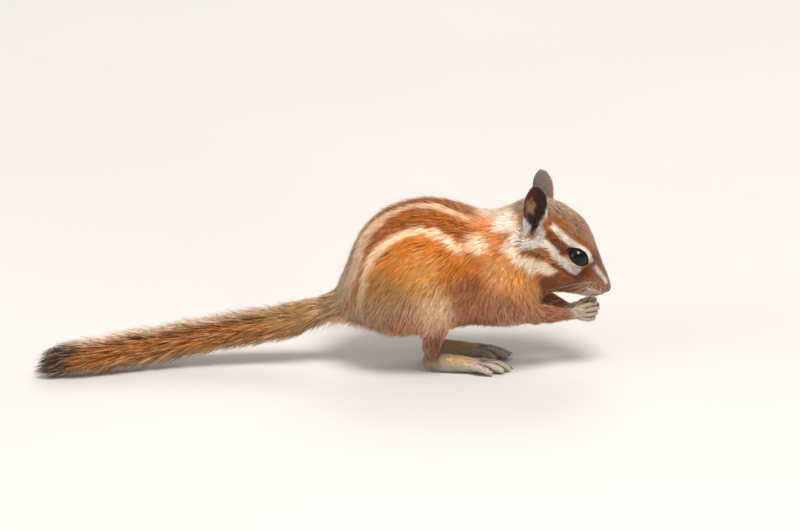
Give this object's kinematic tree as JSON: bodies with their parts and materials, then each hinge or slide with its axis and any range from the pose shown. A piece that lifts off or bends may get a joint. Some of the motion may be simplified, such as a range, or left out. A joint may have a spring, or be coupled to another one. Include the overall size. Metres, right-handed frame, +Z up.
{
  "type": "chipmunk",
  "caption": "Life-size still model of a small striped chipmunk, crouched on its hind feet with the forepaws lifted to the mouth and the tail laid out behind.",
  "frame": {"origin": "middle of the bounding box's footprint, at the level of the soles", "axes": "+X from the tail to the nose, +Y to the animal's left, +Z up"},
  "size_m": [0.2002, 0.0452, 0.0676],
  "materials": {
    "body_coat": "short dense fur: rufous and ochre flanks, tan-grey rump, pale and brown stripes along the back and face",
    "tail_coat": "longer brush of fur, rufous centre, black band, pale buff edge",
    "foot_coat": "very short cream fur, dark claws",
    "ear": "thin skin with short grey and brown down, pale rim",
    "eye": "wet, glossy black",
    "nose": "bare skin, slightly damp"
  },
  "bodies": {
    "root": {"head": "body_coat", "neck": "body_coat", "chest": "body_coat", "rump": "body_coat", "nose": "nose", "tail_root": "tail_coat", "tail_upper": "tail_coat", "tail_middle": "tail_coat", "tail_end": "tail_coat", "right_ear": "ear", "left_ear": "ear", "right_eye": "eye", "left_eye": "eye", "right_thigh": "body_coat", "left_thigh": "body_coat", "right_shank": "body_coat", "left_shank": "body_coat", "right_hind_foot": "foot_coat", "left_hind_foot": "foot_coat", "right_upper_arm": "body_coat", "left_upper_arm": "body_coat", "right_forearm": "body_coat", "left_forearm": "body_coat", "right_forepaw": "foot_coat", "left_forepaw": "foot_coat"}
  },
  "joints": []
}
